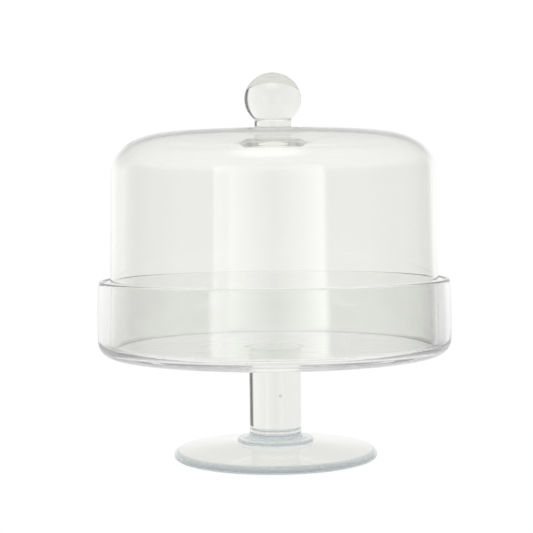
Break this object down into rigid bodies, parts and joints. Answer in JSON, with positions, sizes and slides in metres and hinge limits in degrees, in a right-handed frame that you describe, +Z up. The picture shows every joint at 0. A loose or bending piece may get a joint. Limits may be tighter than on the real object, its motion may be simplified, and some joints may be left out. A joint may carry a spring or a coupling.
{
  "type": "cake stand with dome",
  "caption": "Clear glass pedestal cake stand with a straight-sided dish and a lift-off domed cover with a ball knob.",
  "frame": {"origin": "on the axis, at the centre of the foot's underside, in the plane that the stand rests on", "axes": "+Z up along the axis that every piece is round about; X and Y are alike"},
  "size_m": [0.2799, 0.28, 0.3055],
  "materials": {
    "foot_glass": "clear, fire-polished",
    "stem_glass": "clear, fire-polished",
    "dish_glass": "clear, fire-polished",
    "dome_glass": "clear, fire-polished",
    "knob_glass": "clear, fire-polished"
  },
  "bodies": {
    "stand": {"foot": "foot_glass", "stem_base_collar": "stem_glass", "stem": "stem_glass", "stem_top_seal": "stem_glass", "dish": "dish_glass"},
    "dome": {"dome_shell": "dome_glass", "knob_seal": "knob_glass", "knob": "knob_glass"}
  },
  "joints": [
    {"name": "dome_lift", "type": "slide", "parent": "stand", "child": "dome", "axis": [0, 0, 1], "range_m": [0, 0.22]}
  ]
}
